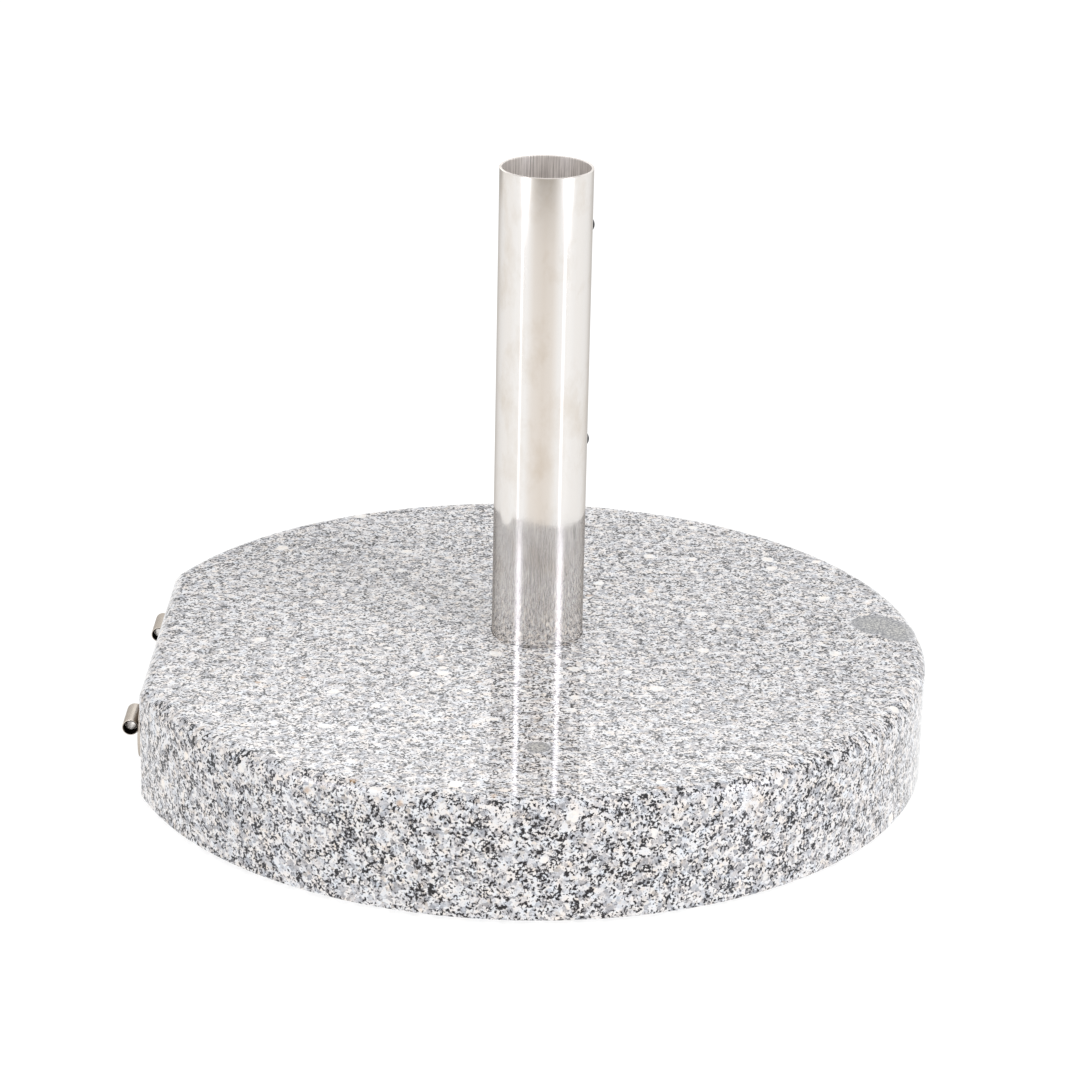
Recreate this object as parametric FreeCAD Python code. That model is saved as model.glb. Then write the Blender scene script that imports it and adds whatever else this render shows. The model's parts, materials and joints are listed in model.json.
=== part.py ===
"""Parasol base: granite slab, standing tube with two clamp screws, and two handle sockets.

The slab is round with one flat side. The tube stands in a shallow recess in the slab's top and is
pulled down by a bolt from the underside. The clamp screws hold the parasol's pole in the tube. The
handle sockets sit on the slab's flat side.

Frame: the origin is on the ground under the centre of the round slab, +Z is up, and the flat side
faces -X. All sizes are in millimetres.
"""
import FreeCAD, Part
import math
import os

# --- driving dimensions -------------------------------------------------------------------------
PAD_THICKNESS = 2.0

SLAB_RADIUS = 250.0
SLAB_THICKNESS = 74.0
FLAT_DISTANCE = 231.0        # from the slab's centre to its flat side
CORNER_RADIUS = 12.0         # in plan, where the flat side meets the round side
TOP_ARRIS = 9.5
BOTTOM_ARRIS = 2.5

TUBE_X = 7.0
TUBE_Y = 8.0
TUBE_RADIUS = 28.5
TUBE_WALL = 1.5
TUBE_HEIGHT = 299.0          # above the slab
TUBE_RECESS = 3.0            # how deep the tube stands in the slab
RIM_ROUND = 0.35

FOOT_THICKNESS = 12.0
FOOT_REGISTER = 0.4          # the tube's end is bored out this much to seat the foot

BOLT_RADIUS = 6.0            # M12
BOLT_LENGTH = 70.0
BOLT_HEAD_FLATS = 19.0
BOLT_HEAD_HEIGHT = 7.5
BOLT_HOLE_CLEAR = 1.0        # radial, through the stone
WASHER_RADIUS = 10.5
WASHER_THICKNESS = 2.5
WASHER_SPLIT = 1.5
BACKING_RADIUS = 40.0
BACKING_THICKNESS = 6.0
UNDER_RECESS_RADIUS = 45.0
UNDER_RECESS_DEPTH = 20.0

CLAMP_ANGLE = 50.5           # degrees from +X, the side of the tube the clamp screws are on
CLAMP_HEIGHTS = {"upper": 256.0, "lower": 118.0}   # above the slab
CLAMP_RADIUS = 3.0           # M6
CLAMP_PITCH = 1.0
CLAMP_THREAD_DEPTH = 0.45
CLAMP_LENGTH = 12.0
CLAMP_TIP_CLEAR = 0.1        # from the tip's face to the tube's inner wall with the screw backed off
CLAMP_TIP_PROUD = 0.4        # how far the nylon tip stands out of the screw's end
CLAMP_TIP_RADIUS = 1.75
CLAMP_TIP_LENGTH = 4.0
CLAMP_HEAD_RADIUS = 5.25
CLAMP_HEAD_HEIGHT = 3.3
CLAMP_KEY = 4.0              # across the flats of the hexagon key
CLAMP_KEY_DEPTH = 2.1
INSERT_FLATS = 10.0

SOCKET_SPACING = 150.0       # between the two brackets, along the flat side
BRACKETS_Y = 3.5             # midway between the two brackets
PLATE_RADIUS = 16.5
PLATE_THICKNESS = 2.5
PLATE_DROP = 3.0             # plate's centre below the middle of the slab's thickness
SOCKET_RISE = 7.5            # socket's axis above the plate's centre
SOCKET_RADIUS = 5.0
SOCKET_WALL = 0.9
SOCKET_LENGTH = 26.0
SOCKET_SUNK = 0.5            # how deep the socket sits in its groove in the plate

BRACKET_SCREW_RADIUS = 2.0   # M4
BRACKET_SCREW_HEAD = 4.0
BRACKET_SCREW_LENGTH = 20.0
BRACKET_KEY = 2.5            # across the flats of the hexagon key
BRACKET_KEY_DEPTH = 1.4
BRACKET_SCREW_SPACING = 15.0
BRACKET_SCREW_DROP = 6.5     # below the plate's centre
ANCHOR_RADIUS = 3.0
ANCHOR_LENGTH = 20.0
ANCHOR_HOLE_SPARE = 2.0      # how much deeper its hole is

PAD_RADIUS = 20.0
PAD_CIRCLE = 200.0
PAD_COUNT = 6

RUN = 0.05                   # radial clearance of a running fit
LOOSE = 0.3                  # radial clearance of a located part

# --- worked-out places --------------------------------------------------------------------------
SLAB_BOTTOM = PAD_THICKNESS
SLAB_TOP = SLAB_BOTTOM + SLAB_THICKNESS
TUBE_BOTTOM = SLAB_TOP - TUBE_RECESS
TUBE_TOP = SLAB_TOP + TUBE_HEIGHT
BORE_RADIUS = TUBE_RADIUS - TUBE_WALL
FOOT_TOP = TUBE_BOTTOM + FOOT_THICKNESS
TIP_FACE = BORE_RADIUS + CLAMP_TIP_CLEAR      # from the tube's axis to the tip's face
SCREW_END = TIP_FACE + CLAMP_TIP_PROUD        # and to the screw's end
INSERT_CUT_START = BORE_RADIUS - 2 * TUBE_WALL
INSERT_CUT_LENGTH = 5 * TUBE_WALL             # from inside the bore to outside the wall
BACKING_TOP = SLAB_BOTTOM + UNDER_RECESS_DEPTH
BACKING_BOTTOM = BACKING_TOP - BACKING_THICKNESS
WASHER_BOTTOM = BACKING_BOTTOM - WASHER_THICKNESS
PLATE_Z = SLAB_BOTTOM + SLAB_THICKNESS / 2 - PLATE_DROP
SOCKET_Z = PLATE_Z + SOCKET_RISE
SOCKET_X = -FLAT_DISTANCE - PLATE_THICKNESS - SOCKET_RADIUS + SOCKET_SUNK

UP = FreeCAD.Vector(0, 0, 1)
OUT_OF_FLAT = FreeCAD.Vector(-1, 0, 0)
ALONG_FLAT = FreeCAD.Vector(0, 1, 0)
CLAMP_OUT = FreeCAD.Vector(math.cos(math.radians(CLAMP_ANGLE)), math.sin(math.radians(CLAMP_ANGLE)), 0)


# --- small geometry helpers ---------------------------------------------------------------------
def vec(x, y, z):
    return FreeCAD.Vector(x, y, z)


def cylinder(radius, length, start, axis=UP):
    """A cylinder from start along axis."""
    return Part.makeCylinder(radius, length, start, axis)


def stand_on(shape, start, axis):
    """Turn a shape drawn up +Z from the origin so that it goes from start along axis."""
    shape.Placement = FreeCAD.Placement(start, FreeCAD.Rotation(UP, axis))
    return shape


def turned(profile, start, axis=UP):
    """A solid of revolution from (radius, distance along the axis) points."""
    points = [vec(radius, 0, along) for radius, along in profile]
    wire = Part.makePolygon(points + points[:1])
    solid = Part.Face(wire).revolve(vec(0, 0, 0), UP, 360)
    return stand_on(solid, start, axis)


def hexagon(flats, length, start, axis=UP):
    """A hexagonal prism, sized across its flats, from start along axis."""
    corner = flats / math.sqrt(3)
    angles = [math.radians(60 * i) for i in range(7)]
    wire = Part.makePolygon([vec(corner * math.cos(a), corner * math.sin(a), 0) for a in angles])
    return stand_on(Part.Face(wire).extrude(vec(0, 0, length)), start, axis)


def edges_at(shape, z, nearest_axis):
    """The edges that lie at height z and further than nearest_axis from the frame's own Z axis."""
    found = []
    near = 1e-4
    for edge in shape.Edges:
        box = edge.BoundBox
        flat = abs(box.ZMin - z) < near and abs(box.ZMax - z) < near
        middle = edge.valueAt((edge.FirstParameter + edge.LastParameter) / 2)
        if flat and math.hypot(middle.x, middle.y) > nearest_axis:
            found.append(edge)
    return found


# --- slab ---------------------------------------------------------------------------------------
def bracket_y(side):
    """The middle of one bracket: side is -1 for the front one and 1 for the rear one."""
    return BRACKETS_Y + side * SOCKET_SPACING / 2


def bracket_screw_places(side):
    """Where the two screws of one bracket enter its plate's outer face."""
    x = -FLAT_DISTANCE - PLATE_THICKNESS
    middle = bracket_y(side)
    z = PLATE_Z - BRACKET_SCREW_DROP
    return [vec(x, middle + step * BRACKET_SCREW_SPACING / 2, z) for step in (-1, 1)]


def granite_slab():
    disc = cylinder(SLAB_RADIUS, SLAB_THICKNESS, vec(0, 0, SLAB_BOTTOM))
    kept = Part.makeBox(
        SLAB_RADIUS + FLAT_DISTANCE, 2 * SLAB_RADIUS, SLAB_THICKNESS,
        vec(-FLAT_DISTANCE, -SLAB_RADIUS, SLAB_BOTTOM),
    )
    slab = disc.common(kept)
    upright = [e for e in slab.Edges if e.BoundBox.ZLength > 1 and e.BoundBox.XMax < -FLAT_DISTANCE / 2]
    slab = slab.makeFillet(CORNER_RADIUS, upright)
    rim = FLAT_DISTANCE / 2
    slab = slab.makeFillet(TOP_ARRIS, edges_at(slab, SLAB_TOP, rim))
    slab = slab.makeFillet(BOTTOM_ARRIS, edges_at(slab, SLAB_BOTTOM, rim))

    holes = [
        cylinder(TUBE_RADIUS + LOOSE, TUBE_RECESS, vec(TUBE_X, TUBE_Y, TUBE_BOTTOM)),
        cylinder(BOLT_RADIUS + BOLT_HOLE_CLEAR, SLAB_THICKNESS, vec(TUBE_X, TUBE_Y, SLAB_BOTTOM)),
        cylinder(UNDER_RECESS_RADIUS, UNDER_RECESS_DEPTH, vec(TUBE_X, TUBE_Y, SLAB_BOTTOM)),
    ]
    for side in (-1, 1):
        for place in bracket_screw_places(side):
            mouth = vec(-FLAT_DISTANCE, place.y, place.z)
            holes.append(cylinder(ANCHOR_RADIUS, ANCHOR_LENGTH + ANCHOR_HOLE_SPARE, mouth, -OUT_OF_FLAT))
    return slab.cut(holes)


def floor_pads():
    pads = {}
    for i in range(PAD_COUNT):
        angle = 2 * math.pi * i / PAD_COUNT
        centre = vec(PAD_CIRCLE * math.cos(angle), PAD_CIRCLE * math.sin(angle), 0)
        edge = PAD_THICKNESS / 4
        profile = [
            (0, 0), (PAD_RADIUS - edge, 0), (PAD_RADIUS, edge),
            (PAD_RADIUS, PAD_THICKNESS), (0, PAD_THICKNESS),
        ]
        pads[f"floor_pad_{i + 1}"] = turned(profile, centre)
    return pads


# --- standing tube ------------------------------------------------------------------------------
def clamp_place(height, from_axis):
    """A point on a clamp screw's axis, at a distance from the tube's axis."""
    return vec(TUBE_X, TUBE_Y, SLAB_TOP + height) + CLAMP_OUT * from_axis


def tube_wall():
    """The tube before its side holes: bored out at the foot, its rim's edges rounded off."""
    seat = BORE_RADIUS + FOOT_REGISTER
    profile = [
        (seat, TUBE_BOTTOM), (TUBE_RADIUS, TUBE_BOTTOM),
        (TUBE_RADIUS, TUBE_TOP - RIM_ROUND), (TUBE_RADIUS - RIM_ROUND, TUBE_TOP),
        (BORE_RADIUS + RIM_ROUND, TUBE_TOP), (BORE_RADIUS, TUBE_TOP - RIM_ROUND),
        (BORE_RADIUS, FOOT_TOP), (seat, FOOT_TOP),
    ]
    return turned(profile, vec(TUBE_X, TUBE_Y, 0))


def insert_prism(height):
    """The hexagonal plug that one clamp insert takes out of the tube's wall."""
    return hexagon(INSERT_FLATS, INSERT_CUT_LENGTH, clamp_place(height, INSERT_CUT_START), CLAMP_OUT)


def pole_tube():
    return tube_wall().cut([insert_prism(height) for height in CLAMP_HEIGHTS.values()])


def clamp_insert(height):
    plug = tube_wall().common(insert_prism(height))
    hole = cylinder(CLAMP_RADIUS + RUN, INSERT_CUT_LENGTH, clamp_place(height, INSERT_CUT_START), CLAMP_OUT)
    return plug.cut(hole)


def tube_foot():
    radius = BORE_RADIUS + FOOT_REGISTER
    edge = 0.5
    profile = [
        (BOLT_RADIUS + RUN, TUBE_BOTTOM), (radius, TUBE_BOTTOM),
        (radius, FOOT_TOP - edge), (radius - edge, FOOT_TOP), (BOLT_RADIUS + RUN, FOOT_TOP),
    ]
    return turned(profile, vec(TUBE_X, TUBE_Y, 0))


# --- centre bolt --------------------------------------------------------------------------------
def centre_bolt():
    axis_point = vec(TUBE_X, TUBE_Y, WASHER_BOTTOM)
    point = 1.0
    shank = turned(
        [(0, 0), (BOLT_RADIUS, 0), (BOLT_RADIUS, BOLT_LENGTH - point),
         (BOLT_RADIUS - point, BOLT_LENGTH), (0, BOLT_LENGTH)],
        axis_point,
    )
    head_base = axis_point - UP * BOLT_HEAD_HEIGHT
    head = hexagon(BOLT_HEAD_FLATS, BOLT_HEAD_HEIGHT, head_base)
    corner = BOLT_HEAD_FLATS / math.sqrt(3)
    bevel = turned(
        [(0, 0), (BOLT_HEAD_FLATS / 2, 0), (corner, 1.0), (corner, BOLT_HEAD_HEIGHT), (0, BOLT_HEAD_HEIGHT)],
        head_base,
    )
    return head.common(bevel).fuse(shank)


def spring_washer():
    """A split ring, as it is when pressed flat."""
    inner = BOLT_RADIUS + LOOSE
    base = vec(TUBE_X, TUBE_Y, WASHER_BOTTOM)
    profile = [(inner, 0), (WASHER_RADIUS, 0), (WASHER_RADIUS, WASHER_THICKNESS), (inner, WASHER_THICKNESS)]
    split = Part.makeBox(WASHER_RADIUS, WASHER_SPLIT, WASHER_THICKNESS, base)
    return turned(profile, base).cut(split)


def backing_plate():
    hole = BOLT_RADIUS + 0.5
    edge = 0.8
    profile = [
        (hole, 0), (BACKING_RADIUS - edge, 0), (BACKING_RADIUS, edge),
        (BACKING_RADIUS, BACKING_THICKNESS), (hole, BACKING_THICKNESS),
    ]
    return turned(profile, vec(TUBE_X, TUBE_Y, BACKING_BOTTOM))


# --- clamp screws -------------------------------------------------------------------------------
def threaded_profile(length):
    """Half-section of a threaded shank from its end up: V grooves, then a plain neck under the head."""
    root = CLAMP_RADIUS - CLAMP_THREAD_DEPTH
    rise = 0.45 * CLAMP_PITCH
    crest = 0.15 * CLAMP_PITCH
    profile = [(0, 0), (root, 0)]
    for turn in range(int(length / CLAMP_PITCH) - 1):
        start = turn * CLAMP_PITCH
        profile.append((CLAMP_RADIUS, start + rise))
        profile.append((CLAMP_RADIUS, start + rise + crest))
        profile.append((root, start + CLAMP_PITCH))
    return profile + [(root, length), (0, length)]


def button_head(start):
    """A domed head with a hexagon socket, from its flat underside out."""
    land = 0.5
    crown = 2.6
    bulge = (0.84, 0.62)     # a point on the dome, as parts of the head's radius and height
    rim = vec(CLAMP_HEAD_RADIUS, 0, land)
    shoulder = vec(bulge[0] * CLAMP_HEAD_RADIUS, 0, bulge[1] * CLAMP_HEAD_HEIGHT)
    top = vec(crown, 0, CLAMP_HEAD_HEIGHT)
    outline = Part.Wire([
        Part.makeLine(vec(0, 0, 0), vec(CLAMP_HEAD_RADIUS, 0, 0)),
        Part.makeLine(vec(CLAMP_HEAD_RADIUS, 0, 0), rim),
        Part.Arc(rim, shoulder, top).toShape(),
        Part.makeLine(top, vec(0, 0, CLAMP_HEAD_HEIGHT)),
        Part.makeLine(vec(0, 0, CLAMP_HEAD_HEIGHT), vec(0, 0, 0)),
    ])
    head = stand_on(Part.Face(outline).revolve(vec(0, 0, 0), UP, 360), start, CLAMP_OUT)
    socket_base = start + CLAMP_OUT * (CLAMP_HEAD_HEIGHT - CLAMP_KEY_DEPTH)
    return head.cut(hexagon(CLAMP_KEY, CLAMP_KEY_DEPTH, socket_base, CLAMP_OUT))


def clamp_screw(height):
    end = clamp_place(height, SCREW_END)
    shank = turned(threaded_profile(CLAMP_LENGTH), end, CLAMP_OUT)
    tip_hole = cylinder(CLAMP_TIP_RADIUS + RUN, CLAMP_TIP_LENGTH - CLAMP_TIP_PROUD + RUN, end, CLAMP_OUT)
    head = button_head(clamp_place(height, SCREW_END + CLAMP_LENGTH))
    return shank.fuse(head).cut(tip_hole)


def clamp_tip(height):
    edge = 0.25
    profile = [
        (0, 0), (CLAMP_TIP_RADIUS - edge, 0), (CLAMP_TIP_RADIUS, edge),
        (CLAMP_TIP_RADIUS, CLAMP_TIP_LENGTH), (0, CLAMP_TIP_LENGTH),
    ]
    return turned(profile, clamp_place(height, TIP_FACE), CLAMP_OUT)


# --- handle brackets ----------------------------------------------------------------------------
def countersunk(start, clearance=0.0):
    """A countersunk screw going in from start, or the hole for one."""
    land = 0.3
    head = BRACKET_SCREW_HEAD + clearance
    shank = BRACKET_SCREW_RADIUS + clearance
    profile = [
        (0, 0), (head, 0), (head, land), (shank, land + head - shank),
        (shank, BRACKET_SCREW_LENGTH), (0, BRACKET_SCREW_LENGTH),
    ]
    return turned(profile, start, -OUT_OF_FLAT)


def bracket_plate(side):
    middle = bracket_y(side)
    edge = 0.7
    profile = [
        (0, 0), (PLATE_RADIUS, 0), (PLATE_RADIUS, PLATE_THICKNESS - edge),
        (PLATE_RADIUS - edge, PLATE_THICKNESS), (0, PLATE_THICKNESS),
    ]
    plate = turned(profile, vec(-FLAT_DISTANCE, middle, PLATE_Z), OUT_OF_FLAT)
    groove_start = vec(SOCKET_X, middle - PLATE_RADIUS, SOCKET_Z)
    groove = cylinder(SOCKET_RADIUS, 2 * PLATE_RADIUS, groove_start, ALONG_FLAT)
    screw_holes = [countersunk(place, clearance=0.15) for place in bracket_screw_places(side)]
    return plate.cut([groove] + screw_holes)


def handle_socket(side):
    """A short tube, open at both ends, lying along the flat side."""
    inner = SOCKET_RADIUS - SOCKET_WALL
    edge = 0.2
    profile = [
        (inner, 0), (SOCKET_RADIUS - edge, 0), (SOCKET_RADIUS, edge),
        (SOCKET_RADIUS, SOCKET_LENGTH - edge), (SOCKET_RADIUS - edge, SOCKET_LENGTH), (inner, SOCKET_LENGTH),
    ]
    start = vec(SOCKET_X, bracket_y(side) - SOCKET_LENGTH / 2, SOCKET_Z)
    return turned(profile, start, ALONG_FLAT)


def bracket_screw(place):
    socket = hexagon(BRACKET_KEY, BRACKET_KEY_DEPTH, place, -OUT_OF_FLAT)
    return countersunk(place).cut(socket)


def stone_anchor(place):
    inner = BRACKET_SCREW_RADIUS + RUN
    profile = [(inner, 0), (ANCHOR_RADIUS, 0), (ANCHOR_RADIUS, ANCHOR_LENGTH), (inner, ANCHOR_LENGTH)]
    return turned(profile, vec(-FLAT_DISTANCE, place.y, place.z), -OUT_OF_FLAT)


# --- the whole base -----------------------------------------------------------------------------
def all_nodes():
    nodes = {
        "granite_slab": granite_slab(),
        "pole_tube": pole_tube(),
        "tube_foot": tube_foot(),
        "centre_bolt": centre_bolt(),
        "spring_washer": spring_washer(),
        "backing_plate": backing_plate(),
    }
    for level, height in CLAMP_HEIGHTS.items():
        nodes[f"clamp_insert_{level}"] = clamp_insert(height)
        nodes[f"clamp_screw_{level}"] = clamp_screw(height)
        nodes[f"clamp_tip_{level}"] = clamp_tip(height)
    for name, side in (("front", -1), ("rear", 1)):
        nodes[f"bracket_plate_{name}"] = bracket_plate(side)
        nodes[f"handle_socket_{name}"] = handle_socket(side)
        for i, place in enumerate(bracket_screw_places(side), start=1):
            nodes[f"bracket_screw_{name}_{i}"] = bracket_screw(place)
            nodes[f"stone_anchor_{name}_{i}"] = stone_anchor(place)
    nodes.update(floor_pads())
    return nodes


os.makedirs("parts", exist_ok=True)
for node, shape in all_nodes().items():
    shape.exportStep(f"parts/{node}.step")
    box = shape.BoundBox
    print(f"{node}: {len(shape.Solids)} solid, valid {shape.isValid()}, {shape.Volume:.0f} mm3, "
          f"z {box.ZMin:.1f} to {box.ZMax:.1f}")
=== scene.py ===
"""Parasol base: materials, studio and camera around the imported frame. All lengths are in metres."""

import json
import math

import bpy
from mathutils import Matrix, Vector


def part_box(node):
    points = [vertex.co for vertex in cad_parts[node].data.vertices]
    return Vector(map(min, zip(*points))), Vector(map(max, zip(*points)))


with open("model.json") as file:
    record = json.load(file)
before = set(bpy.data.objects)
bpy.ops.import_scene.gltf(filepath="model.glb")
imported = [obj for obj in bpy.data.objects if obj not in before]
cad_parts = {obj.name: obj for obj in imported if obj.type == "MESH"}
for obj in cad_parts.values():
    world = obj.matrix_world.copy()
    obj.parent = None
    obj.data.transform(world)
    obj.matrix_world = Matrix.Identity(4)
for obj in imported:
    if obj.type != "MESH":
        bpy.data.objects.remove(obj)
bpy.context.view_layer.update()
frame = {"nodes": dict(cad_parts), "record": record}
MM = 0.001

# --- places, from the frame -----------------------------------------------------------------------
TUBE_LOW, TUBE_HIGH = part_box("pole_tube")
SLAB_LOW, SLAB_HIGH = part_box("granite_slab")
TUBE_AXIS = (TUBE_LOW + TUBE_HIGH) / 2
TUBE_RADIUS = (TUBE_HIGH.x - TUBE_LOW.x) / 2
SLAB_TOP = SLAB_HIGH.z

# --- camera ---------------------------------------------------------------------------------------
VIEW_AZIMUTH = math.radians(0.3)        # the camera looks along +Y, turned this much towards -X
VIEW_ELEVATION = math.radians(20.47)
VIEW_ROLL = math.radians(1.23)
VIEW_DISTANCE = 2.308
AIM_RIGHT = 0.0007                      # the point aimed at, from the foot of the tube
AIM_BEYOND = 0.1624
SENSOR = 36.0                           # millimetres, as Blender measures lenses
LENS = 114.33

# --- studio ---------------------------------------------------------------------------------------
FLOOR_SIZE = 30.0
FLOOR_GLOW = 0.77                       # the floor is lit from below too, which keeps it near white
SKY_STRENGTH = 0.88
SKY_COLOUR = (1.0, 0.991, 0.978)
KEY_BEARING = math.radians(47.0)        # from the camera's side, towards its right
KEY_ELEVATION = math.radians(58.0)
KEY_DISTANCE = 2.0
KEY_SIZE = 0.80
KEY_POWER = 9.5
KEY_COLOUR = (0.975, 0.985, 1.0)
# white screens round the base, seen only in reflections
SCREEN_RADIUS = 0.60
SCREEN_HEIGHTS = (-0.40, 0.05, 0.11, 0.17, 0.20, 0.235, 0.31, 0.40, 0.90)
# brightness at each bearing, in degrees
SCREEN_LEVELS = (
    (-180, 1.12), (-140, 1.14), (-114, 1.06), (-89, 1.04), (-70, 1.10), (-42, 1.10), (-24, 0.94), (0, 0.87),
    (20, 0.92), (38, 1.08), (64, 1.13), (83, 1.06), (106, 1.06), (134, 1.14), (180, 1.12),
)
SCREEN_WARMTH = (1.055, 0.985, 0.91)    # the tint where the screens are dimmest
WARM_BELOW = 1.08                       # levels under this start to take the tint
WARM_RANGE = 0.22
# the gap in front, where the camera stands: how much light is left at each height
GAP_LEVELS = (1.02, 1.0, 0.98, 0.94, 0.84, 0.52, 0.80, 1.10, 0.90)
GAP_HALF_WIDTH = 30.0
# behind the base, where the slab's top mirrors the backdrop: the level at each height, and how much more
# of it the left has than the right, from the bearing on
BACK_LEVELS = (1.0, 1.0, 1.0, 1.0, 0.95, 0.80, 1.00, 1.50, 1.50)
BACK_TILTS = (0.0, 0.0, 0.0, 0.0, 0.0, -0.15, 0.10, 0.12, 0.12)
BACK_FROM = 125.0
BACK_BLEND = 15.0
BACK_TILT_BEARING = 20.0                # where the tilt has its full value, either side of straight behind
# the lamps, as bearing, half-width and level: LOW for what the tube shows of them above the slab's
# reflection, HIGH for what shows in the slab's polish
LOW_STREAKS = ((-55.0, 2.6, 0.55), (50.0, 3.0, 0.75))
HIGH_STREAKS = ((-49.5, 8.0, 5.0), (54.5, 9.0, 5.5))
STREAK_SHARES = (0.0, 0.0, 0.0, 0.0, 0.10, 1.0, 1.0, 1.0, 1.0)  # how far each height goes to HIGH
STREAK_WIDTHS = (1.0, 1.0, 1.0, 1.0, 1.0, 1.0, 0.85, 0.65, 0.65)
STREAK_TINT = (0.97, 0.96, 1.07)


# ==================================================================================================
# Node helpers
# ==================================================================================================
class Nodes:
    """Builds a material's node tree: each method adds a node and returns its output socket."""

    def __init__(self, name):
        self.material = bpy.data.materials.new(name)
        self.material.use_nodes = True
        self.tree = self.material.node_tree
        self.shader = self.tree.nodes["Principled BSDF"]

    def add(self, kind, **inputs):
        node = self.tree.nodes.new(kind)
        for name, value in inputs.items():
            self.put(node.inputs[name.replace("_", " ")], value)
        return node

    def put(self, socket, value):
        """Links a socket, or sets a plain value."""
        if isinstance(value, bpy.types.NodeSocket):
            self.tree.links.new(value, socket)
        elif value is not None:
            socket.default_value = value

    def set(self, **values):
        for name, value in values.items():
            self.put(self.shader.inputs[name.replace("_", " ")], value)

    def place(self):
        """Object coordinates, in metres, which are the frame's own."""
        return self.tree.nodes.new("ShaderNodeTexCoord").outputs["Object"]

    def math(self, operation, a, b=None):
        node = self.tree.nodes.new("ShaderNodeMath")
        node.operation = operation
        for socket, value in zip(node.inputs, (a, b)):
            self.put(socket, value)
        return node.outputs[0]

    def vector(self, operation, a, b=None, scale=None):
        node = self.tree.nodes.new("ShaderNodeVectorMath")
        node.operation = operation
        self.put(node.inputs[0], a)
        if b is not None:
            self.put(node.inputs[1], b)
        if scale is not None:
            self.put(node.inputs["Scale"], scale)
        return node.outputs["Value" if operation == "LENGTH" else "Vector"]

    def split(self, vector):
        return self.add("ShaderNodeSeparateXYZ", Vector=vector).outputs

    def join(self, x, y, z):
        return self.add("ShaderNodeCombineXYZ", X=x, Y=y, Z=z).outputs[0]

    def noise(self, vector, scale, detail=2.0, roughness=0.5, colour=False):
        node = self.add("ShaderNodeTexNoise", Vector=vector, Scale=scale, Detail=detail, Roughness=roughness)
        return node.outputs["Color" if colour else "Fac"]

    def cells(self, vector, scale):
        """A Voronoi texture: returns its distance and its random colour, one per cell."""
        node = self.add("ShaderNodeTexVoronoi", Vector=vector, Scale=scale)
        return node.outputs["Distance"], node.outputs["Color"]

    def channels(self, colour):
        return self.add("ShaderNodeSeparateColor", Color=colour).outputs

    def remap(self, value, low, high, to_low=0.0, to_high=1.0, smooth=False):
        node = self.tree.nodes.new("ShaderNodeMapRange")
        node.interpolation_type = "SMOOTHSTEP" if smooth else "LINEAR"
        names = ("Value", "From Min", "From Max", "To Min", "To Max")
        for name, number in zip(names, (value, low, high, to_low, to_high)):
            self.put(node.inputs[name], number)
        return node.outputs[0]

    def mix(self, factor, a, b, blend="MIX"):
        """Mixes two colours."""
        node = self.tree.nodes.new("ShaderNodeMix")
        node.data_type = "RGBA"
        node.blend_type = blend
        for socket, value in ((node.inputs[0], factor), (node.inputs[6], a), (node.inputs[7], b)):
            self.put(socket, value)
        return node.outputs[2]

    def ramp(self, value, stops):
        """A colour ramp from (position, (r, g, b)) stops."""
        node = self.add("ShaderNodeValToRGB", Fac=value)
        elements = node.color_ramp.elements
        while len(elements) < len(stops):
            elements.new(0.5)
        for element, (position, colour) in zip(elements, stops):
            element.position = position
            element.color = (*colour, 1.0)
        return node.outputs["Color"]

    def bump(self, height, distance, strength):
        node = self.add("ShaderNodeBump", Height=height, Distance=distance, Strength=strength)
        return node.outputs["Normal"]


# ==================================================================================================
# Granite
# ==================================================================================================
# how fine each layer is, in repeats per metre
WOBBLE_SCALE = 500.0
GRAIN_SCALE = 355.0
GRAIN_CLOUD_SCALE = 1100.0
FELDSPAR_SCALE = 62.0
FLAKE_SCALE = 590.0
CROWD_SCALE = 158.0
DRIFT_SCALE = 24.0
RUST_SCALE = 75.0
CLOUD_SCALE = 170.0
INCLUSION_EDGE_SCALE = 110.0
INCLUSION_GRAIN_SCALE = 620.0
# which share of the random values stays out: 1 would leave none in
WARM_ABOVE = 0.88
FELDSPAR_ABOVE = 0.75
RUST_ABOVE = 0.965
MICA_LEVEL = 0.515
MICA_CROWDING = 0.42
MICA_DRIFT = 0.07
CLOUDING = 0.32
# fine-grained dark patches in the stone: centre x, y, z, and half-lengths along x, y, z
INCLUSIONS = (
    (0.2215, 0.0310, 0.074, 0.0150, 0.0155, 0.014),
    (0.2345, 0.0215, 0.072, 0.0120, 0.0180, 0.014),
    (0.0100, -0.1730, 0.076, 0.0075, 0.0080, 0.006),
)


def inclusion_masks(n, place, warp):
    """Two masks of the dark patches, both with an uneven edge: the whole of each, and its paler core."""
    mask = 0.0
    core = 0.0
    for x, y, z, rx, ry, rz in INCLUSIONS:
        centred = n.vector("SUBTRACT", place, (x, y, z))
        unit = n.vector("DIVIDE", centred, (rx, ry, rz))
        reach = n.math("ADD", n.vector("LENGTH", unit), n.math("MULTIPLY", warp, 0.5))
        mask = n.math("MAXIMUM", mask, n.remap(reach, 1.16, 1.34, 1.0, 0.0, smooth=True))
        core = n.math("MAXIMUM", core, n.remap(reach, 0.70, 1.22, 1.0, 0.0))
    return mask, core


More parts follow.
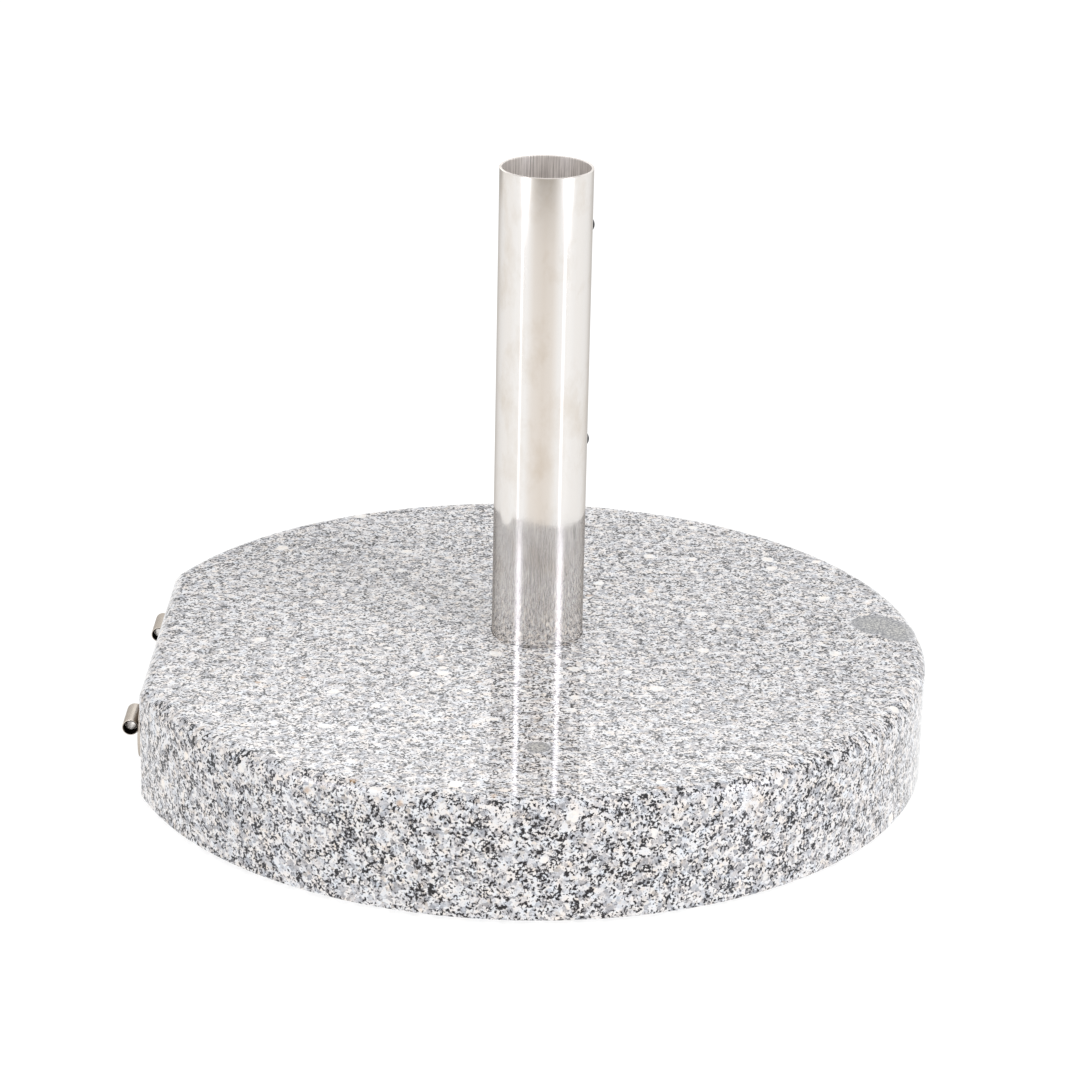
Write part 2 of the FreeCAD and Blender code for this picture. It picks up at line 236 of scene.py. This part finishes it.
def granite():
    """Polished light granite: white and grey grains, black mica in clusters, cream feldspar, rare rust."""
    n = Nodes("granite")
    place = n.place()
    wobble = n.noise(place, WOBBLE_SCALE, 2.0, colour=True)
    shift = n.vector("SCALE", n.vector("SUBTRACT", wobble, (0.5, 0.5, 0.5)), scale=2.4 * MM)
    grain_place = n.vector("ADD", place, shift)

    # white and grey grains
    _, grain = n.cells(grain_place, GRAIN_SCALE)
    tone, tint, _ = n.channels(grain)[:3]
    cloudy = n.noise(place, GRAIN_CLOUD_SCALE, 3.0, 0.6)
    tone = n.math("ADD", tone, n.remap(cloudy, 0.3, 0.7, -0.16, 0.16))
    colour = n.ramp(tone, [
        (0.00, (0.88, 0.88, 0.87)), (0.38, (0.84, 0.84, 0.84)), (0.60, (0.70, 0.705, 0.72)),
        (0.80, (0.54, 0.545, 0.565)), (1.00, (0.36, 0.365, 0.385)),
    ])
    warm = n.math("GREATER_THAN", tint, WARM_ABOVE)
    colour = n.mix(n.math("MULTIPLY", warm, 0.30), colour, (0.84, 0.74, 0.60, 1.0))

    # cream feldspar crystals, a few times larger than the grains
    far, crystal = n.cells(grain_place, FELDSPAR_SCALE)
    chance, size, _ = n.channels(crystal)[:3]
    reach = n.remap(size, 0.0, 1.0, 0.10, 0.27)
    inside = n.remap(n.math("SUBTRACT", far, reach), -0.03, 0.02, 1.0, 0.0)
    feldspar = n.math("MULTIPLY", inside, n.math("GREATER_THAN", chance, FELDSPAR_ABOVE))
    colour = n.mix(n.math("MULTIPLY", feldspar, 0.8), colour, (0.94, 0.93, 0.89, 1.0))

    # black mica: ragged flakes, crowded together where two slower noises are high
    flakes = n.noise(n.vector("ADD", place, n.vector("SCALE", shift, scale=0.4)), FLAKE_SCALE, 3.0, 0.62)
    crowd = n.noise(place, CROWD_SCALE, 2.0)
    drift = n.noise(place, DRIFT_SCALE, 2.0)
    level = n.math("ADD", flakes, n.math("MULTIPLY", n.math("SUBTRACT", crowd, 0.5), MICA_CROWDING))
    level = n.math("ADD", level, n.math("MULTIPLY", n.math("SUBTRACT", drift, 0.5), MICA_DRIFT))
    level = n.math("SUBTRACT", level, n.math("MULTIPLY", feldspar, 0.2))
    grey_mica = n.remap(level, MICA_LEVEL, MICA_LEVEL + 0.045, smooth=True)
    black_mica = n.remap(level, MICA_LEVEL + 0.030, MICA_LEVEL + 0.072, smooth=True)
    colour = n.mix(grey_mica, colour, (0.235, 0.24, 0.265, 1.0))
    colour = n.mix(black_mica, colour, (0.012, 0.012, 0.015, 1.0))

    # rare rust round iron-bearing flakes
    rust_far, rust = n.cells(grain_place, RUST_SCALE)
    rust_chance = n.channels(rust)[0]
    near_rust = n.remap(rust_far, 0.02, 0.22, 0.75, 0.0)
    rusty = n.math("MULTIPLY", n.math("GREATER_THAN", rust_chance, RUST_ABOVE), near_rust)
    colour = n.mix(rusty, colour, (0.55, 0.33, 0.15, 1.0))

    # faint lilac and beige clouding, which crosses the grains
    cloud = n.math("MULTIPLY", n.math("SUBTRACT", n.noise(place, CLOUD_SCALE, 3.0, 0.7), 0.5), CLOUDING)
    hue = n.join(n.math("ADD", 1.0, cloud), 0.987, n.math("SUBTRACT", 1.0, cloud))
    colour = n.mix(1.0, colour, hue, "MULTIPLY")

    # fine-grained inclusions
    patch, core = inclusion_masks(n, place, n.noise(place, INCLUSION_EDGE_SCALE, 4.0, 0.6))
    fine = n.noise(place, INCLUSION_GRAIN_SCALE, 4.0, 0.8)
    patch_colour = n.ramp(n.remap(fine, 0.39, 0.61), [
        (0.0, (0.13, 0.133, 0.150)), (0.5, (0.34, 0.342, 0.345)), (1.0, (0.70, 0.69, 0.65)),
    ])
    patch_colour = n.mix(core, n.mix(1.0, patch_colour, (0.80, 0.815, 0.87, 1.0), "MULTIPLY"), patch_colour)
    colour = n.mix(patch, colour, patch_colour)

    n.set(
        Base_Color=colour,
        Roughness=n.math("ADD", 0.025, n.math("MULTIPLY", black_mica, 0.02)),
        IOR=1.50,
    )
    return n.material


# ==================================================================================================
# Metals, rubber, nylon
# ==================================================================================================
BORE_SCALE = 0.55            # how much of the drawn bore is dull scale rather than bare metal
BORE_MARGIN = 0.9 * MM       # under the tube's outside by this much counts as its bore
DARK_MOUTH_DEPTH = 7.0 * MM       # how far the near-black band reaches into each handle socket from its mouth
DARK_MOUTH_EDGE = 0.4 * MM        # how softly it ends
SOCKET_WALL = 0.9 * MM


def radial_place(n, centre):
    """Coordinates round the tube's axis: angle as an arc length, height, and distance from the axis."""
    x, y, z = n.split(n.vector("SUBTRACT", n.place(), (centre.x, centre.y, 0.0)))
    angle = n.math("ARCTAN2", y, x)
    radius = n.math("SQRT", n.math("ADD", n.math("MULTIPLY", x, x), n.math("MULTIPLY", y, y)))
    return angle, z, radius


def tube_steel():
    """Stainless tube, polished outside with faint stains and brushing, and with a dull drawn bore."""
    n = Nodes("stainless_tube")
    angle, z, radius = radial_place(n, TUBE_AXIS)
    inside = n.math("LESS_THAN", radius, TUBE_RADIUS - BORE_MARGIN)
    place = n.place()

    stain = n.noise(n.vector("MULTIPLY", place, (1.0, 1.0, 0.6)), 42.0, 4.0, 0.65)
    high = n.remap(z, TUBE_HIGH.z - 0.09, TUBE_HIGH.z, 0.0, 0.10)
    stained = n.remap(n.math("ADD", stain, high), 0.50, 0.74, 0.0, 0.8)
    colour = n.mix(stained, (0.815, 0.79, 0.765, 1.0), (0.71, 0.655, 0.59, 1.0))
    bore_place = n.join(n.math("MULTIPLY", angle, 30.0), n.math("MULTIPLY", z, 24.0), 0.0)
    bore_marks = n.noise(bore_place, 1.0, 4.0, 0.7)
    bore_colour = n.mix(n.remap(bore_marks, 0.37, 0.63), (0.54, 0.50, 0.48, 1.0), (1.0, 0.96, 0.93, 1.0))
    colour = n.mix(inside, colour, bore_colour)

    lines = n.noise(n.join(n.math("MULTIPLY", angle, 90.0), n.math("MULTIPLY", z, 2.0), 0.0), 1.0, 3.0, 0.6)
    smudge = n.noise(place, 70.0, 3.0)
    roughness = n.math("ADD", n.remap(smudge, 0.3, 0.7, 0.045, 0.085), n.math("MULTIPLY", inside, 0.25))
    tangent = n.tree.nodes.new("ShaderNodeTangent")
    tangent.direction_type = "RADIAL"
    tangent.axis = "Z"
    n.set(
        Base_Color=colour, Metallic=n.math("SUBTRACT", 1.0, n.math("MULTIPLY", inside, BORE_SCALE)),
        Roughness=roughness, Anisotropic=0.75, Anisotropic_Rotation=0.25,
        Specular_Tint=(0.56, 0.54, 0.52, 1.0),
        Tangent=tangent.outputs[0], Normal=n.bump(lines, 0.001 * MM, 0.35),
    )
    return n.material


def satin_finish(n, colour, roughness):
    """Fine uneven grinding marks and a few dull patches: sets roughness and relief, returns the colour."""
    place = n.place()
    marks = n.noise(n.vector("MULTIPLY", place, (1.0, 1.0, 9.0)), 900.0, 3.0, 0.6)
    dull = n.noise(place, 160.0, 3.0)
    dark = tuple(0.78 * c for c in colour)
    n.set(
        Metallic=1.0,
        Roughness=n.remap(dull, 0.3, 0.7, roughness, roughness + 0.14),
        Normal=n.bump(marks, 0.01 * MM, 0.5),
    )
    return n.mix(n.remap(dull, 0.4, 0.75, 0.0, 0.6), (*colour, 1.0), (*dark, 1.0))


def satin_metal(name, colour, roughness):
    n = Nodes(name)
    n.set(Base_Color=satin_finish(n, colour, roughness))
    return n.material


def bracket_steel():
    """Satin stainless, with painted shade along the side of each socket that meets its plate. The sockets are
    near black for a short way in from the mouth, and pale deeper in, which is painted light.
    """
    n = Nodes("stainless_bracket")
    colour = satin_finish(n, (0.64, 0.585, 0.525), 0.20)
    low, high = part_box("handle_socket_front")
    rear_low, rear_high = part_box("handle_socket_rear")
    middle = (low + high) / 2
    rear_middle = (rear_low + rear_high) / 2
    x, y, z = n.split(n.vector("SUBTRACT", n.place(), tuple(middle)))
    radius = n.math("SQRT", n.math("ADD", n.math("MULTIPLY", x, x), n.math("MULTIPLY", z, z)))
    outer = (high.z - low.z) / 2

    on_socket = n.math("LESS_THAN", radius, outer + 0.2 * MM)
    # painted shade: a dark brown band down the side of each socket that faces its plate, standing in for the
    # shade in the gap between them
    painted_joint_shade = n.math("MULTIPLY", on_socket, n.remap(x, 0.25 * outer, 0.75 * outer, 0.0, 0.9, smooth=True))
    colour = n.mix(painted_joint_shade, colour, (0.17, 0.135, 0.105, 1.0))

    from_rear = n.math("ABSOLUTE", n.math("SUBTRACT", y, rear_middle.y - middle.y))
    from_middle = n.math("MINIMUM", n.math("ABSOLUTE", y), from_rear)
    dark_mouth_start = (high.y - low.y) / 2 - DARK_MOUTH_DEPTH
    near_mouth = n.remap(from_middle, dark_mouth_start - DARK_MOUTH_EDGE, dark_mouth_start + DARK_MOUTH_EDGE, smooth=True)
    inside = n.math("LESS_THAN", radius, outer - SOCKET_WALL / 2)
    # near black for a short way in from each socket's mouth
    scale = n.math("MULTIPLY", inside, near_mouth)
    # painted light: the inside of each socket is paler than the steel outside, standing in for light coming
    # in through the far end
    colour = n.mix(inside, colour, (1.0, 0.97, 0.94, 1.0))
    colour = n.mix(scale, colour, (0.006, 0.005, 0.005, 1.0))
    roughness = n.shader.inputs["Roughness"].links[0].from_socket
    n.set(
        Base_Color=colour,
        Roughness=n.math("MAXIMUM", roughness, n.math("MULTIPLY", scale, 0.6)),
        Specular_Tint=(0.5, 0.48, 0.46, 1.0),
    )
    return n.material


def black_oxide():
    """Blackened screws: dark satin, with bare metal starting to show on the most worn spots."""
    n = Nodes("black_oxide")
    place = n.place()
    worn = n.noise(place, 900.0, 4.0, 0.7)
    n.set(
        Base_Color=n.mix(
            n.remap(worn, 0.60, 0.80, 0.0, 0.5), (0.035, 0.035, 0.038, 1.0), (0.19, 0.18, 0.17, 1.0)
        ),
        Metallic=0.85,
        Roughness=n.remap(worn, 0.3, 0.7, 0.28, 0.45),
        Normal=n.bump(n.noise(place, 2500.0, 2.0), 0.01 * MM, 0.5),
    )
    return n.material


def plain_moulded(name, colour, roughness, grain):
    """Nylon or rubber with a fine moulded grain."""
    n = Nodes(name)
    place = n.place()
    speckle = n.noise(place, grain, 3.0, 0.6)
    lighter = tuple(min(1.0, 1.25 * c + 0.01) for c in colour)
    n.set(
        Base_Color=n.mix(n.remap(speckle, 0.35, 0.7), (*colour, 1.0), (*lighter, 1.0)),
        Roughness=n.remap(speckle, 0.3, 0.7, roughness, roughness + 0.1),
        Normal=n.bump(speckle, 0.05 * MM, 0.6),
    )
    return n.material


MATERIALS = {
    "granite": granite(),
    "stainless_tube": tube_steel(),
    "stainless_bracket": bracket_steel(),
    "zinc_steel": satin_metal("zinc_steel", (0.62, 0.63, 0.64), 0.38),
    "brass": satin_metal("brass", (0.80, 0.62, 0.30), 0.28),
    "black_oxide": black_oxide(),
    "nylon": plain_moulded("nylon", (0.80, 0.78, 0.71), 0.45, 1200.0),
    "rubber": plain_moulded("rubber", (0.035, 0.035, 0.036), 0.70, 800.0),
}


def finish_nodes():
    """Gives every CAD node the material of its slot in the record."""
    for row in frame["record"]["subparts"]:
        mesh = frame["nodes"][row["node"]].data
        mesh.materials.clear()
        mesh.materials.append(MATERIALS[row["material_slot"]])


# ==================================================================================================
# Studio
# ==================================================================================================
def camera_axes():
    """The camera's right, up and forward directions before its roll."""
    right = Vector((math.cos(VIEW_AZIMUTH), math.sin(VIEW_AZIMUTH), 0.0))
    level = Vector((-math.sin(VIEW_AZIMUTH), math.cos(VIEW_AZIMUTH), 0.0))
    forward = level * math.cos(VIEW_ELEVATION) - Vector((0.0, 0.0, math.sin(VIEW_ELEVATION)))
    return right, right.cross(forward), forward, level


def bearings():
    """Level directions from the tube: towards the camera, which is bearing 0, and to the camera's right."""
    outward = -camera_axes()[3]
    return outward, Vector((-outward.y, outward.x, 0.0))


def make_camera():
    right, up, forward, level = camera_axes()
    aim = Vector((TUBE_AXIS.x, TUBE_AXIS.y, SLAB_TOP)) + right * AIM_RIGHT + level * AIM_BEYOND
    rolled_right = right * math.cos(VIEW_ROLL) + up * math.sin(VIEW_ROLL)
    rolled_up = up * math.cos(VIEW_ROLL) - right * math.sin(VIEW_ROLL)
    data = bpy.data.cameras.new("camera")
    data.sensor_width = SENSOR
    data.lens = LENS
    camera = bpy.data.objects.new("camera", data)
    turn = Matrix((rolled_right, rolled_up, -forward)).transposed().to_4x4()
    camera.matrix_world = Matrix.Translation(aim - forward * VIEW_DISTANCE) @ turn
    bpy.context.scene.collection.objects.link(camera)
    bpy.context.scene.camera = camera


def make_floor():
    half = FLOOR_SIZE / 2
    mesh = bpy.data.meshes.new("floor")
    corners = [(-half, -half, 0), (half, -half, 0), (half, half, 0), (-half, half, 0)]
    mesh.from_pydata(corners, [], [(0, 1, 2, 3)])
    floor = bpy.data.objects.new("floor", mesh)
    n = Nodes("floor")
    speckle = n.noise(n.place(), 60.0)
    n.set(
        Base_Color=n.mix(speckle, (0.34, 0.34, 0.34, 1.0), (0.36, 0.36, 0.36, 1.0)),
        Roughness=0.9,
        Specular_IOR_Level=0.1,
        Emission_Color=(1.0, 1.0, 1.0, 1.0),
        Emission_Strength=FLOOR_GLOW,
    )
    mesh.materials.append(n.material)
    floor.visible_glossy = False
    bpy.context.scene.collection.objects.link(floor)


def screen_level(bearing):
    """The screens' plain brightness at a bearing in degrees."""
    for (low, a), (high, b) in zip(SCREEN_LEVELS, SCREEN_LEVELS[1:]):
        if low <= bearing <= high:
            return a + (b - a) * (bearing - low) / (high - low)


def lamp_level(bearing, streaks, width):
    """What the two lamps add at a bearing."""
    return sum(
        level * math.exp(-(((bearing - centre) / (half_width * width)) ** 2))
        for centre, half_width, level in streaks
    )


def screen_colour(bearing, gap, back, tilt, share, width):
    """The screens' colour at a bearing in degrees: soft levels, warmer where dim, and the lamps."""
    level = screen_level(bearing)
    dim = max(0.0, min(1.0, (WARM_BELOW - level) / WARM_RANGE))
    level *= 1.0 + (gap - 1.0) * math.exp(-((bearing / GAP_HALF_WIDTH) ** 4))
    behind = max(0.0, min(1.0, (abs(bearing) - BACK_FROM) / BACK_BLEND))
    leftward = -math.sin(math.radians(bearing)) / math.sin(math.radians(BACK_TILT_BEARING))
    level *= 1.0 + behind * (back * (1.0 + tilt * leftward) - 1.0)
    low, high = (lamp_level(bearing, streaks, width) for streaks in (LOW_STREAKS, HIGH_STREAKS))
    lamp = (1.0 - share) * low + share * high
    colour = [
        level * (1.0 + dim * (warmth - 1.0)) + lamp * tint for warmth, tint in zip(SCREEN_WARMTH, STREAK_TINT)
    ]
    return (*colour, 1.0)


def make_screens():
    """Rings of vertical panels round the base, coloured point by point. Only reflections see them."""
    outward, right = bearings()
    columns = list(range(-180, 181))
    points = []
    colours = []
    rows = zip(SCREEN_HEIGHTS, GAP_LEVELS, BACK_LEVELS, BACK_TILTS, STREAK_SHARES, STREAK_WIDTHS)
    for height, *levels in rows:
        for angle in columns:
            turn = math.radians(angle)
            edge = (outward * math.cos(turn) + right * math.sin(turn)) * SCREEN_RADIUS
            points.append((TUBE_AXIS.x + edge.x, TUBE_AXIS.y + edge.y, height))
            colours.append(screen_colour(angle, *levels))
    width = len(columns)
    faces = []
    for row in range(len(SCREEN_HEIGHTS) - 1):
        for i in range(width - 1):
            corner = row * width + i
            faces.append((corner, corner + 1, corner + width + 1, corner + width))
    mesh = bpy.data.meshes.new("screens")
    mesh.from_pydata(points, [], faces)
    glow = mesh.color_attributes.new("glow", "FLOAT_COLOR", "POINT")
    for point, colour in zip(glow.data, colours):
        point.color = colour
    screens = bpy.data.objects.new("screens", mesh)
    n = Nodes("screens")
    attribute = n.tree.nodes.new("ShaderNodeAttribute")
    attribute.attribute_name = "glow"
    n.set(Base_Color=(0.0, 0.0, 0.0, 1.0), Specular_IOR_Level=0.0, Emission_Color=attribute.outputs["Color"],
          Emission_Strength=1.0)
    mesh.materials.append(n.material)
    screens.visible_camera = False
    screens.visible_diffuse = False
    screens.visible_shadow = False
    screens.visible_transmission = False
    bpy.context.scene.collection.objects.link(screens)


def make_key():
    """A square softbox, high on the camera's right. The screens stand in for its reflection."""
    outward, right = bearings()
    level = outward * math.cos(KEY_BEARING) + right * math.sin(KEY_BEARING)
    towards = level * math.cos(KEY_ELEVATION) + Vector((0.0, 0.0, math.sin(KEY_ELEVATION)))
    data = bpy.data.lights.new("key", "AREA")
    data.shape = "SQUARE"
    data.size = KEY_SIZE
    data.energy = KEY_POWER
    data.color = KEY_COLOUR
    light = bpy.data.objects.new("key", data)
    light.location = Vector((TUBE_AXIS.x, TUBE_AXIS.y, SLAB_TOP)) + towards * KEY_DISTANCE
    light.rotation_euler = towards.to_track_quat("Z", "Y").to_euler()
    light.visible_glossy = False
    bpy.context.scene.collection.objects.link(light)


def make_sky():
    world = bpy.data.worlds.new("studio")
    world.use_nodes = True
    background = world.node_tree.nodes["Background"]
    background.inputs["Color"].default_value = (*SKY_COLOUR, 1.0)
    background.inputs["Strength"].default_value = SKY_STRENGTH
    bpy.context.scene.world = world


finish_nodes()
make_camera()
make_floor()
make_screens()
make_key()
make_sky()
bpy.context.scene.view_settings.view_transform = "Standard"
